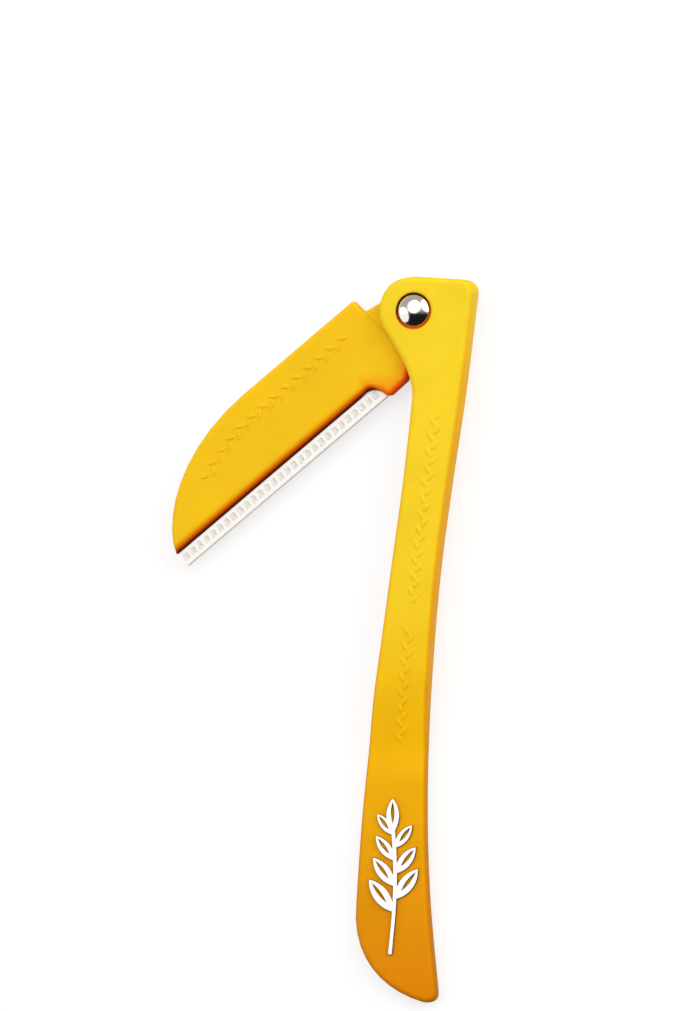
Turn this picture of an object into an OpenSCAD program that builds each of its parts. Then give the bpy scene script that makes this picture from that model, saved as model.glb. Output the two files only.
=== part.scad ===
// Folding eyebrow razor, lying on its back with the front face up.
// The pivot axis stands on the origin along Z, the handle runs down -Y,
// and the underside of the handle lies on the plane z = 0.

/* [Handle] */
// Distance from the pivot to the end of the tail
handle_len = 114.3; // [105:0.1:130]
// Radius of the round end about the pivot
head_r = 6; // [5.9:0.05:6.6]
// Distance from the pivot to the flat top edge
top_d = 5.65; // [5.4:0.05:5.8]
// Distance from the pivot to the back edge, level with the pivot
back_d = 9.5; // [9:0.05:11]
// Width of the neck at its narrowest
neck_w = 7.6; // [7.2:0.1:9]
// Width of the tail before its end
tail_w = 12.8; // [11.5:0.1:15]
// Thickness at the pivot
handle_t = 5.6; // [5.4:0.1:7]
// Thickness where the fold channel ends
channel_end_t = 4.8; // [4.6:0.1:5.4]
// Thickness of the tail
tail_t = 2.7; // [2:0.1:4]
// Radius of the corner at the top of the back edge
top_corner_r = 2.4; // [1:0.1:3]
// Angle by which the flat top edge falls towards the back
head_lean = 3.75; // [2:0.05:5]

/* [Fold channel] */
// Thickness of the cheek under the blade holder
under_cheek_t = 1.3; // [1.1:0.05:1.5]
// Thickness of the wall that joins the two cheeks along the back edge
spine_wall = 1.3; // [0.9:0.05:1.5]
// Distance from the pivot to the channel's lower end
channel_len = 60; // [59.5:0.1:62]
// Radius of the channel's lower inner corner
channel_corner_r = 1.2; // [0.5:0.1:2]
// Clearance between the blade holder's face and each cheek
side_gap = 0.1; // [0.05:0.01:0.15]
// Clearance round the tang inside the channel
tang_gap = 0.35; // [0.3:0.05:0.6]

/* [Blade holder] */
// Reach from the pivot to the tip, measured along the blade
holder_len = 57.5; // [54:0.1:58]
// Width of the plate, from its spine to the edge that holds the blade
plate_w = 13.2; // [12:0.05:15]
// Distance from the pivot line to the edge that holds the blade
edge_d = 4.93; // [4.6:0.01:5]
// Thickness of the moulding
holder_t = 2.4; // [2.2:0.1:2.5]
// Radius of the round tang
tang_r = 5.7; // [5.4:0.05:5.85]
// Distance from the pivot to the shoulder that stops the opening
shoulder_d = 6.5; // [6.1:0.05:6.8]
// How far the heel lobe stands out past the edge that holds the blade
lobe_out = 3.1; // [3:0.05:3.2]
// Distance along the blade from the pivot to the front of the heel lobe
lobe_x = 12.9; // [12:0.1:13.5]
// Radius of the hollow between the heel lobe and the blade's edge
hollow_r = 2.65; // [2:0.05:2.7]
// Radius of the lobe's own corner
lobe_r = 1; // [0.5:0.05:1.2]
// Radius of the corner between the shoulder and the spine
shoulder_r = 0.5; // [0.3:0.05:1]
// Angle between the closed blade holder and the one shown
shown_open = 42; // [0:1:180]

/* [Blade] */
// Thickness of the blade strip
blade_t = 0.3; // [0.2:0.01:0.4]
// Depth of the blade strip inside the moulding
blade_in = 3.2; // [2.5:0.1:4]
// How far the cutting edge stands out of the moulding
blade_out = 1.7; // [1.4:0.05:1.9]
// Width of the ground bevel on each face
blade_bevel = 0.7; // [0.4:0.05:0.9]
// Plastic left between the blade and the tip of the moulding
tip_wall = 0.6; // [0.5:0.05:1]
// How far the strip runs into the heel lobe
heel_tuck = 0.5; // [0.3:0.05:0.8]

/* [Comb guard] */
// Thickness of the folded foil
guard_t = 0.12; // [0.08:0.01:0.16]
// How far the fold stands out of the moulding
guard_out = 2.85; // [2.6:0.01:2.9]
// Depth of the foil inside the moulding
guard_in = 1.1; // [0.8:0.1:1.6]
// How far the foil runs past the tip of the moulding
guard_over = 0.45; // [0.2:0.05:0.6]
// Radius of the foil's rounded end
guard_end_r = 1.3; // [0.8:0.1:1.8]
// Spacing of the windows
window_pitch = 1.5; // [1.3:0.05:2]
// Width of each window along the edge
window_w = 0.95; // [0.7:0.05:1.1]
// Height of each window across the foil
window_h = 1.1; // [0.8:0.05:1.3]
// Distance from the moulding to the middle of the windows
window_mid = 1.4; // [1.2:0.05:1.6]

/* [Rivet] */
// Diameter of the shank
shank_d = 2.5; // [2:0.1:3]
// Diameter of the domed front head
dome_d = 5.5; // [5:0.1:6]
// Height of the dome above its skirt
dome_h = 1.2; // [0.9:0.05:1.6]
// Height of the dome's skirt
skirt_h = 0.7; // [0.2:0.05:0.75]
// Diameter of the cap on the underside
cap_d = 5.2; // [4.6:0.1:6]
// Thickness of the cap
cap_t = 0.6; // [0.5:0.05:0.7]
// Depth of the cap's socket for the shank
socket_depth = 0.3; // [0.2:0.05:0.35]
// Radial clearance of the shank in the tang, which turns on it
turn_gap = 0.05; // [0.02:0.01:0.08]
// Radial clearance of pieces that are pressed together
seat_gap = 0.02; // [0.01:0.005:0.03]
// Radial clearance of the dome in its countersunk ring
ring_gap = 0.3; // [0.2:0.05:0.4]
// Depth of that ring below the front face
ring_depth = 0.8; // [0.5:0.05:0.9]

/* [Ornament] */
// Length of the sprig
sprig_len = 26; // [22:0.1:28]
// Thickness of the sprig above the tail's face
sprig_t = 0.35; // [0.2:0.05:0.6]
// Width of the stem
stem_w = 0.8; // [0.6:0.05:1.2]
// Length of the largest leaf
leaf_len = 7; // [5:0.1:7.4]
// Greatest width of the largest leaf
leaf_w = 2.7; // [2:0.1:3]
// Leaves on the stem, left and right by turns
leaf_count = 7; // [5:1:9]
// Angle between a leaf and the stem
leaf_angle = 38; // [25:1:42]
// Width of the slit along the middle of a leaf
vein_w = 0.45; // [0.3:0.05:0.6]

/* [Hidden] */
$fn = 64;
// Overrun of every cut past the faces that it opens
over = 1;
// Number of straight steps in each smooth stretch of an outline
steps = 10;

// Stations down the handle: share of its length, lean of the back edge as a share
// of the length, and share of the way from the neck's width to the tail's
station_shares = [
    [0.1225, 0.0157, 0.10], [0.245, 0.0346, 0], [0.3675, 0.0516, 0.015], [0.49, 0.0630, 0.15],
    [0.6125, 0.0704, 0.385], [0.735, 0.0726, 0.63], [0.8575, 0.0682, 0.92]
];
// Where the back edge meets the tail's end: the same first two shares
back_end_shares = [0.98, 0.0569];
// The tail's curve: shares of the tail's width across, and of the handle's length down,
// counted from the back edge's end
tail_curve_shares = [[-1.145, 0.9385], [-0.707, 0.9843], [-0.191, 1]];
// The small curve from there to the back edge's end
tail_corner_shares = [[-0.035, 1.0035], [0.0235, 0.9965]];
// Angle on the round end where the front edge leaves it for the neck
cheek_leave = 208;
// Pulls of the curve from the round end to the neck, as shares of the round end's radius
cheek_pull_shares = [0.5, 0.72];
// Share of the way from the channel's end to the ornament over which the face falls to the tail
fall_share = 0.724;
// Share of the way to a sharp corner at which a rounding curve's handles stand
corner_share = 0.6;

// Foot of the sprig's stem, as shares of the tail's width and of the handle's length
foot_shares = [-0.6, 0.932];
sprig_top = foot_shares[1] * handle_len - sprig_len;

channel_w = holder_t + 2 * side_gap;
mid_z = under_cheek_t + channel_w / 2;

function along(angle) = [cos(angle), sin(angle)];
function cubic(a, b, c, d, t) =
    pow(1 - t, 3) * a + 3 * t * pow(1 - t, 2) * b + 3 * t * t * (1 - t) * c + pow(t, 3) * d;
function cubic_run(a, b, c, d) = [for (k = [0 : steps - 1]) cubic(a, b, c, d, k / steps)];
// A curve that rounds off the corner between two points
function corner_run(a, corner, b) =
    cubic_run(a, a + corner_share * (corner - a), b + corner_share * (corner - b), b);
function arc(centre, r, from, to) = [
    for (k = [0 : steps]) centre + r * along(from + (to - from) * k / steps)
];
function smooth(a, b, c, d, t) =
    (2 * b + (c - a) * t + (2 * a - 5 * b + 4 * c - d) * t * t + (3 * b - a - 3 * c + d) * t * t * t) / 2;
// A smooth run through all the points but without the last one
function smooth_run(p) = [
    for (i = [0 : len(p) - 2])
        for (k = [0 : steps - 1])
            smooth(p[max(i - 1, 0)], p[i], p[i + 1], p[min(i + 2, len(p) - 1)], k / steps)
];
function ease(t) = t * t * (3 - 2 * t);
function reversed(p) = [for (i = [len(p) - 1 : -1 : 0]) p[i]];

// Plan of the handle, X across and Y along it
function station_back(s) = [back_d - s[1] * handle_len, -s[0] * handle_len];
function station_front(s) = station_back(s) - [neck_w + s[2] * (tail_w - neck_w), 0];
back_end = station_back(back_end_shares);
function tail_point(s) = [back_end[0] + s[0] * tail_w, -s[1] * handle_len];

back_slope = station_shares[0][1] / station_shares[0][0];
// The back edge runs straight up to the line of the top edge
top_run = (back_d + top_d * (back_slope * cos(head_lean) - sin(head_lean)))
    / (cos(head_lean) + back_slope * sin(head_lean));
top_corner = top_d * along(90 - head_lean) + top_run * along(-head_lean);
top_back = top_corner - top_corner_r * [back_slope, 1];
top_front = top_corner - top_corner_r * along(-head_lean);
back_edge = smooth_run(concat(
    [top_back, [back_d, 0]],
    [for (s = station_shares) station_back(s)],
    [back_end]
));
front_edge = smooth_run([for (s = station_shares) station_front(s)]);
cheek_from = head_r * along(cheek_leave);
handle_plan = concat(
    arc([0, 0], head_r, 90 - head_lean + acos(top_d / head_r), cheek_leave),
    cubic_run(
        cheek_from,
        cheek_from + cheek_pull_shares[0] * head_r * along(cheek_leave + 90),
        front_edge[0] + [0, cheek_pull_shares[1] * head_r],
        front_edge[0]
    ),
    front_edge,
    cubic_run(
        station_front(station_shares[len(station_shares) - 1]),
        tail_point(tail_curve_shares[0]),
        tail_point(tail_curve_shares[1]),
        tail_point(tail_curve_shares[2])
    ),
    cubic_run(
        tail_point(tail_curve_shares[2]),
        tail_point(tail_corner_shares[0]),
        tail_point(tail_corner_shares[1]),
        back_end
    ),
    [back_end],
    reversed(back_edge),
    corner_run(top_back, top_corner, top_front),
    [top_front]
);

module handle_solid() {
    fall_len = fall_share * (sprig_top - channel_len);
    side = concat(
        [[-handle_len - over, 0], [head_r + over, 0], [head_r + over, handle_t], [0, handle_t]],
        [for (k = [0 : steps]) [
            -channel_len - fall_len * k / steps,
            channel_end_t + (tail_t - channel_end_t) * ease(k / steps)
        ]],
        [[-handle_len - over, tail_t]]
    );
    intersection() {
        linear_extrude(handle_t) polygon(handle_plan);
        translate([-2 * tail_w, 0, 0]) rotate([90, 0, 90]) linear_extrude(4 * tail_w) polygon(side);
    }
}

// The gap between the two cheeks, open at the top and along the front edge
module fold_channel() {
    pocket_x = spine_neck_shares[1] * tang_r + tang_gap + top_d * tan(head_lean);
    wall_top = -shoulder_d - lobe_out;
    wall_end = -channel_len + channel_corner_r;
    wall_table = [for (p = reversed(back_edge)) [p[1], p[0] - spine_wall]];
    wall = [for (p = back_edge) if (p[1] < wall_top && p[1] > wall_end) p - [spine_wall, 0]];
    end_x = lookup(wall_end, wall_table);
    plan = concat(
        [[-tail_w, head_r + over], [pocket_x, head_r + over], [pocket_x, -tang_r]],
        wall,
        arc([end_x - channel_corner_r, wall_end], channel_corner_r, 0, -90),
        [[-tail_w, -channel_len]]
    );
    translate([0, 0, under_cheek_t]) linear_extrude(channel_w) polygon(plan);
}

module handle() {
    ring_r = dome_d / 2 + ring_gap;
    color([0.97, 0.76, 0.13]) difference() {
        handle_solid();
        fold_channel();
        translate([0, 0, -over]) cylinder(h = handle_t + 2 * over, r = shank_d / 2 + seat_gap);
        translate([0, 0, handle_t - ring_depth]) cylinder(h = ring_depth + over, r = ring_r);
        translate([0, 0, -over]) cylinder(h = cap_t + over, r = cap_d / 2 + seat_gap);
    }
}

module rivet() {
    ball_r = (pow(dome_d / 2, 2) + pow(dome_h, 2)) / (2 * dome_h);
    seat_z = handle_t - ring_depth;
    shank_z = cap_t - socket_depth;
    color([0.8, 0.8, 0.78]) union() {
        translate([0, 0, shank_z]) cylinder(h = seat_z - shank_z + skirt_h, d = shank_d);
        translate([0, 0, seat_z]) cylinder(h = skirt_h, d = dome_d);
        intersection() {
            translate([0, 0, seat_z + skirt_h + dome_h - ball_r]) sphere(r = ball_r);
            translate([0, 0, seat_z + skirt_h]) cylinder(h = dome_h + over, d = dome_d);
        }
    }
}

module rivet_cap() {
    color([0.75, 0.75, 0.74]) difference() {
        cylinder(h = cap_t, d = cap_d);
        translate([0, 0, cap_t - socket_depth])
            cylinder(h = socket_depth + over, r = shank_d / 2 + seat_gap);
    }
}

// The blade holder's own plan: X runs from the pivot along the blade, Y towards the cutting edge
tip_lean = atan(edge_d / holder_len);
spine_y = edge_d - plate_w;
strip_x = lobe_x - heel_tuck;
guard_end = holder_len + guard_over;
// Half the neck's width on the blade's side as a share of the tang's radius
neck_share = 0.98;
// The same on the spine's side, level with the pivot and at the shoulder
spine_neck_shares = [0.78, 1.08];
// Where the straight spine ends, as a share of the reach
belly_share = 0.55;
// Pulls of the curve from there to the tip: shares of what is left of the reach, and of the width
belly_pull_shares = [0.56, 0.07, 0.44];
// Slant of the blade's buried end at the tip, as a share of its depth in the moulding
blade_slant_share = 0.75;

module held() {
    rotate([0, 0, -90 - head_lean - shown_open - tip_lean]) translate([0, 0, mid_z]) children();
}

// The shoulder stands square to the line from the pivot to the tip, and the neck runs along that line
function shoulder_at(y) = [shoulder_d / cos(tip_lean) - y * tan(tip_lean), y];
function on_neck(reach, side) = reach * along(tip_lean) + side * along(tip_lean + 90);

module plate_plan() {
    belly = [belly_share * holder_len, spine_y];
    tip = [holder_len, edge_d];
    rest = holder_len - belly[0];
    shoulder = shoulder_at(spine_y);
    neck = neck_share * tang_r;
    // The hollow runs on into the lobe's corner, or into the lobe's straight front where that has one
    meet_r = hollow_r + lobe_r;
    meet = asin(max(0, meet_r - lobe_out) / meet_r);
    hollow = arc([lobe_x - lobe_r + meet_r * cos(meet), edge_d + hollow_r], hollow_r, -90, meet - 180);
    polygon(concat(
        [on_neck(shoulder_d, neck), on_neck(0, neck)],
        [on_neck(0, -spine_neck_shares[0] * tang_r), on_neck(shoulder_d, -spine_neck_shares[1] * tang_r)],
        corner_run(shoulder_at(spine_y + shoulder_r), shoulder, shoulder + [shoulder_r, 0]),
        cubic_run(
            belly,
            belly + [belly_pull_shares[0] * rest, 0],
            tip - [belly_pull_shares[1] * rest, belly_pull_shares[2] * plate_w],
            tip
        ),
        [tip],
        [for (k = [0 : meet_r < lobe_out ? steps : steps - 1]) hollow[k]],
        arc([lobe_x - lobe_r, edge_d + lobe_out - lobe_r], lobe_r, meet, 90),
        [[shoulder_d + 2 * lobe_out / 3, edge_d + lobe_out - lobe_r / 8]]
    ));
}

// Plans of the strip and of the foil, grown by a gap where they are cut out of the moulding
module blade_plan(gap) {
    end_x = holder_len - tip_wall;
    polygon([
        [strip_x - gap, edge_d - blade_in - gap],
        [end_x - blade_slant_share * blade_in + gap, edge_d - blade_in - gap],
        [end_x + gap, edge_d],
        [end_x + gap, edge_d + blade_out + gap],
        [strip_x - gap, edge_d + blade_out + gap]
    ]);
}

module foil_plan(gap) {
    buried_x = holder_len - tip_wall;
    out_y = edge_d + guard_out;
    polygon(concat(
        [
            [strip_x - gap, edge_d - guard_in - gap],
            [buried_x - blade_slant_share * guard_in + gap, edge_d - guard_in - gap],
            [buried_x + gap, edge_d],
            [guard_end + gap, edge_d + guard_over]
        ],
        arc([guard_end - guard_end_r, out_y - guard_end_r], guard_end_r + gap, 0, 90),
        [[strip_x + heel_tuck, out_y + gap], [strip_x - gap, out_y - heel_tuck]]
    ));
}

module blade_holder() {
    slot_z = blade_t + 2 * seat_gap;
    foil_z = slot_z + 2 * guard_t + 2 * seat_gap;
    color([0.96, 0.73, 0.10]) held() difference() {
        translate([0, 0, -holder_t / 2]) linear_extrude(holder_t) union() {
            circle(r = tang_r);
            plate_plan();
        }
        translate([0, 0, -holder_t / 2 - over])
            cylinder(h = holder_t + 2 * over, r = shank_d / 2 + turn_gap);
        translate([0, 0, -slot_z / 2]) linear_extrude(slot_z) blade_plan(seat_gap);
        translate([0, 0, -foil_z / 2]) linear_extrude(foil_z) foil_plan(seat_gap);
    }
}

module blade() {
    edge_y = edge_d + blade_out;
    section = [
        [edge_d - blade_in, -blade_t / 2], [edge_y - blade_bevel, -blade_t / 2], [edge_y, 0],
        [edge_y - blade_bevel, blade_t / 2], [edge_d - blade_in, blade_t / 2]
    ];
    color([0.78, 0.8, 0.82]) held() intersection() {
        translate([0, 0, -blade_t]) linear_extrude(2 * blade_t) blade_plan(0);
        rotate([90, 0, 90]) linear_extrude(holder_len) polygon(section);
    }
}

module guard() {
    foil_z = blade_t + 2 * seat_gap + 2 * guard_t;
    inner_z = blade_t + 2 * seat_gap;
    out_y = edge_d + guard_out;
    run = guard_end - lobe_x - 2 * guard_end_r;
    count = floor(run / window_pitch) + 1;
    first_x = (guard_end + lobe_x - (count - 1) * window_pitch) / 2;
    color([0.86, 0.87, 0.88]) held() difference() {
        translate([0, 0, -foil_z / 2]) linear_extrude(foil_z) foil_plan(0);
        translate([0, edge_d - guard_in - over, -inner_z / 2])
            cube([guard_end + over, guard_in + guard_out + over - guard_t, inner_z]);
        for (i = [0 : count - 1])
            translate([first_x + i * window_pitch - window_w / 2, edge_d + window_mid - window_h / 2, -foil_z])
                cube([window_w, window_h, 2 * foil_z]);
    }
}

// The sprig's own plan: Y runs up the stem from its foot
// Places of the first and the last leaf on the stem, as shares of the sprig's length
leaf_from_share = 0.27;
leaf_to_share = 0.76;
// Size of the last leaf and of the one at the top, as shares of the largest leaf
last_leaf_share = 0.66;
top_leaf_share = 0.86;
// Sideways bow of the stem as a share of its length
bow_share = 0.035;

function bow_x(y) = bow_share * sprig_len * sin(180 * y / sprig_len);

module lens(l, w) {
    r = (l * l + w * w) / (4 * w);
    intersection() {
        translate([r - w / 2, l / 2]) circle(r = r);
        translate([w / 2 - r, l / 2]) circle(r = r);
    }
}

// A pointed leaf that lies along Y, with an open slit along its middle
module leaf(size) {
    l = leaf_len * size;
    linear_extrude(sprig_t) difference() {
        lens(l, leaf_w * size);
        translate([0, l / 3]) lens(l / 2, vein_w);
    }
}

module stem(l) {
    left = [for (k = [0 : steps]) [bow_x(l * k / steps) - stem_w / 2, l * k / steps]];
    right = [for (p = reversed(left)) p + [stem_w, 0]];
    linear_extrude(sprig_t) polygon(concat(left, right));
}

module ornament() {
    top_leaf = top_leaf_share * leaf_len;
    stem_len = sprig_len - top_leaf * 4 / 5;
    foot_x = back_end[0] + foot_shares[0] * tail_w;
    color([0.93, 0.93, 0.93]) translate([foot_x, -sprig_top - sprig_len, tail_t]) union() {
        stem(stem_len);
        for (i = [0 : leaf_count - 1]) {
            t = i / (leaf_count - 1);
            y = sprig_len * (leaf_from_share + (leaf_to_share - leaf_from_share) * t);
            side = i % 2 == 0 ? 1 : -1;
            translate([bow_x(y), y, 0]) rotate(side * leaf_angle) leaf(1 + (last_leaf_share - 1) * t);
        }
        translate([bow_x(stem_len), sprig_len - top_leaf, 0]) leaf(top_leaf_share);
    }
}

handle();
blade_holder();
blade();
guard();
rivet();
rivet_cap();
ornament();
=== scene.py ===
from contextlib import contextmanager
from math import asin, atan2, ceil, cos, degrees, hypot, pi, radians, sin, tan

import bmesh
import bpy
import numpy as np
from mathutils import Matrix, Vector
from mathutils.geometry import delaunay_2d_cdt


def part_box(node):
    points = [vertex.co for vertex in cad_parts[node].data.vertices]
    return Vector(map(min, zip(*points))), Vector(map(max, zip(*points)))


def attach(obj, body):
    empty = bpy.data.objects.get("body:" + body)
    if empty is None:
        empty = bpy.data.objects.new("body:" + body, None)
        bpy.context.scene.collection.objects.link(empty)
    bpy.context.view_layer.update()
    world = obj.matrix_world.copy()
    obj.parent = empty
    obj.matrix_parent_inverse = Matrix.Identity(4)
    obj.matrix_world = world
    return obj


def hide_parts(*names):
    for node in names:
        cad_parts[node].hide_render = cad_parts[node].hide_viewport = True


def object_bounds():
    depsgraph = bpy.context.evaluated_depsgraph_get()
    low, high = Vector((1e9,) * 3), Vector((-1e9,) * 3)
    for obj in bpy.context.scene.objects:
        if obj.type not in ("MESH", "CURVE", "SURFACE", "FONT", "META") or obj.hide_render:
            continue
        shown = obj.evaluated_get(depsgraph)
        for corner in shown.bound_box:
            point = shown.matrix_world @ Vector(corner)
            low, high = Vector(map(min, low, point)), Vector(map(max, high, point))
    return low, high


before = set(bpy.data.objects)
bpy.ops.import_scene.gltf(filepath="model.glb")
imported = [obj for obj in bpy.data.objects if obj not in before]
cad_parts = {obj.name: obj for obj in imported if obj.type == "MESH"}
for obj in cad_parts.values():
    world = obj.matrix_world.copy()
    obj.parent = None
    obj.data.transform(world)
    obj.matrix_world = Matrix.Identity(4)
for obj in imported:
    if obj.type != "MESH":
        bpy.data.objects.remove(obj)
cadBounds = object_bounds()
mm = 0.001
print("frame loaded:", ", ".join(sorted(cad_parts)))

# How near two things lie that count as one
weldGap = 0.0005 * mm  # points of a solid
flatGap = 0.002 * mm  # heights of a flat face, and points after a cut
rimGap = 0.03 * mm  # a rim's points and its circle
levelShare = 0.7  # least share of Z in the normal of a face that looks up or down


# Reading the solids

def meshPoints(mesh):
    points = np.empty(len(mesh.vertices) * 3)
    mesh.vertices.foreach_get("co", points)
    return points.reshape(-1, 3)


def radiiAndHeights(node):
    # how far each point of the solid lies from the pivot axis, and its height
    points = meshPoints(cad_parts[node].data)
    return np.hypot(points[:, 0], points[:, 1]), points[:, 2]


def mergedCopy(node):
    bm = bmesh.new()
    bm.from_mesh(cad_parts[node].data)
    bmesh.ops.remove_doubles(bm, verts=bm.verts, dist=weldGap)
    return bm


def signedArea(ring):
    x, y = ring[:, 0], ring[:, 1]
    return 0.5 * np.sum(x * np.roll(y, -1) - y * np.roll(x, -1))


def flatOutlines(node, height):
    # outlines of the node's flat face at this height, counter-clockwise, the largest first
    bm = mergedCopy(node)
    flat = {f for f in bm.faces if all(abs(v.co.z - height) < flatGap for v in f.verts)}
    follow = {}
    for face in (f for f in bm.faces if f in flat):
        for loop in face.loops:
            if not any(f in flat for f in loop.edge.link_faces if f is not face):
                follow[loop.vert.index] = loop.link_loop_next.vert.index
    places = [v.co.copy() for v in bm.verts]
    bm.free()
    rings = []
    while follow:
        start = next(iter(follow))
        ring, here = [start], follow.pop(start)
        while here != start:
            ring.append(here)
            here = follow.pop(here)
        flatRing = np.array([places[i].xy for i in ring])
        rings.append(flatRing if signedArea(flatRing) > 0 else flatRing[::-1])
    return sorted(rings, key=signedArea, reverse=True)


def longestRidge(node, leastAngle=0.02):
    bm = mergedCopy(node)
    ridges = [e for e in bm.edges if e.calc_face_angle(0) > leastAngle]
    a, b = (v.co.copy() for v in max(ridges, key=lambda e: e.calc_length()).verts)
    bm.free()
    return (b - a) if b.length > a.length else (a - b)


# The blade's own plan: X from the pivot along the blade, Y towards the cutting edge
bladeWay = longestRidge("blade")
bladeTurn = atan2(bladeWay.y, bladeWay.x)
bladeMid = (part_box("blade")[0].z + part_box("blade")[1].z) / 2
fromBlade = Matrix.Translation((0, 0, bladeMid)) @ Matrix.Rotation(bladeTurn, 4, "Z")


def toBlade(points):
    x, y = points[:, 0], points[:, 1]
    c, s = cos(bladeTurn), sin(bladeTurn)
    return np.column_stack([x * c + y * s, y * c - x * s])


# Meshes

def addObject(name, data):
    piece = bpy.data.objects.new(name, data)
    bpy.context.scene.collection.objects.link(piece)
    return piece


@contextmanager
def editing(mesh):
    bm = bmesh.new()
    bm.from_mesh(mesh)
    yield bm
    bm.to_mesh(mesh)
    bm.free()


def meshObject(name, points, faces, turnOut=False):
    # turnOut makes every face look outwards
    mesh = bpy.data.meshes.new(name)
    mesh.from_pydata(points, [], faces)
    if turnOut:
        with editing(mesh) as bm:
            bmesh.ops.recalc_face_normals(bm, faces=bm.faces)
    return addObject(name, mesh)


def shownMesh(piece):
    # what the piece's modifiers show, as a plain mesh
    graph = bpy.context.evaluated_depsgraph_get()
    graph.update()
    return bpy.data.meshes.new_from_object(piece.evaluated_get(graph))


def bakeModifiers(piece):
    mesh = shownMesh(piece)
    piece.modifiers.clear()
    old, piece.data = piece.data, mesh
    bpy.data.meshes.remove(old)
    mesh.name = piece.name
    return piece


def keepWithin(piece, cutter):
    # keeps what lies inside the cutter, which is then deleted
    cut = piece.modifiers.new("cut", "BOOLEAN")
    cut.operation, cut.solver, cut.object = "INTERSECT", "EXACT", cutter
    bakeModifiers(piece)
    bpy.data.objects.remove(cutter)


def cutLike(piece, node):
    # keeps only what lies inside the solid, so that every slot, bore and channel is cut as there
    bm = mergedCopy(node)
    mesh = bpy.data.meshes.new("cutter")
    bm.to_mesh(mesh)
    bm.free()
    keepWithin(piece, addObject("cutter", mesh))
    with editing(piece.data) as bm:
        bmesh.ops.remove_doubles(bm, verts=bm.verts, dist=flatGap)
        bmesh.ops.dissolve_degenerate(bm, edges=bm.edges, dist=flatGap)


def softenRim(piece, radius, height, width, segments=4):
    # rounds the rim of a round hole about the pivot axis
    with editing(piece.data) as bm:
        rim = [e for e in bm.edges if all(
            abs(hypot(v.co.x, v.co.y) - radius) < rimGap and abs(v.co.z - height) < rimGap
            for v in e.verts)]
        bmesh.ops.bevel(bm, geom=rim, offset=width, segments=segments, profile=0.5, affect="EDGES",
                        clamp_overlap=True)
        bmesh.ops.dissolve_degenerate(bm, edges=bm.edges, dist=flatGap / 2)


def smoothEdges(piece, degrees):
    # smooth shading, but sharp where the faces turn by more than these degrees
    piece.data.shade_smooth()
    piece.data.set_sharp_from_angle(angle=radians(degrees))
    evened = piece.modifiers.new("evened", "WEIGHTED_NORMAL")
    evened.keep_sharp = True
    return bakeModifiers(piece)


# Outlines and the soft plates made over them

def densify(ring, spacing):
    points = []
    for a, b in zip(ring, np.roll(ring, -1, axis=0)):
        count = max(1, ceil(np.linalg.norm(b - a) / spacing))
        points += [a + (b - a) * k / count for k in range(count)]
    return np.array(points)


def inwardNormals(ring):
    ahead = np.roll(ring, -1, axis=0) - ring
    ahead /= np.linalg.norm(ahead, axis=1)[:, None]
    both = ahead + np.roll(ahead, 1, axis=0)
    both /= np.linalg.norm(both, axis=1)[:, None]
    return np.column_stack([-both[:, 1], both[:, 0]])


def nearest(points, ring):
    # distance to the ring, and where on it: segment and share of the segment
    ab = np.roll(ring, -1, axis=0) - ring
    along = ((points[:, None] - ring) * ab).sum(2) / (ab ** 2).sum(1)
    along = np.clip(along, 0, 1)
    gap = points[:, None] - (ring + along[..., None] * ab)
    far = np.sqrt((gap ** 2).sum(2))
    segment = far.argmin(1)
    rows = np.arange(len(points))
    return far[rows, segment], segment, along[rows, segment]


def isInside(points, ring):
    a, b = ring, np.roll(ring, -1, axis=0)
    x, y = points[:, :1], points[:, 1:]
    crosses = (a[:, 1] > y) != (b[:, 1] > y)
    rise = np.where(b[:, 1] == a[:, 1], 1e-12, b[:, 1] - a[:, 1])
    at = a[:, 0] + (y - a[:, 1]) * (b[:, 0] - a[:, 0]) / rise
    return (crosses & (x < at)).sum(1) % 2 == 1


def insideFaces(faces, rim):
    # leaves out the triangles that lie beyond the outline
    walls = {frozenset(pair) for pair in zip(rim, np.roll(rim, -1))}
    users = {}
    for k, face in enumerate(faces):
        for pair in zip(face, face[1:] + face[:1]):
            users.setdefault(frozenset(pair), []).append(k)
    waiting = [ks[0] for pair, ks in users.items() if len(ks) == 1 and pair not in walls]
    outer = set(waiting)
    while waiting:
        face = faces[waiting.pop()]
        for pair in zip(face, face[1:] + face[:1]):
            if frozenset(pair) in walls:
                continue
            for other in users[frozenset(pair)]:
                if other not in outer:
                    outer.add(other)
                    waiting.append(other)
    return [face for k, face in enumerate(faces) if k not in outer]


# Where a plate's points lie, as shares of the rounding's width
pastRound = 1.15  # the last ring of points, on the flat face
fieldFrom = 1.3  # the start of the even field
# A ring's point is left out where the outline is nearer than this share of the point's reach
leastReach = 0.985


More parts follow.
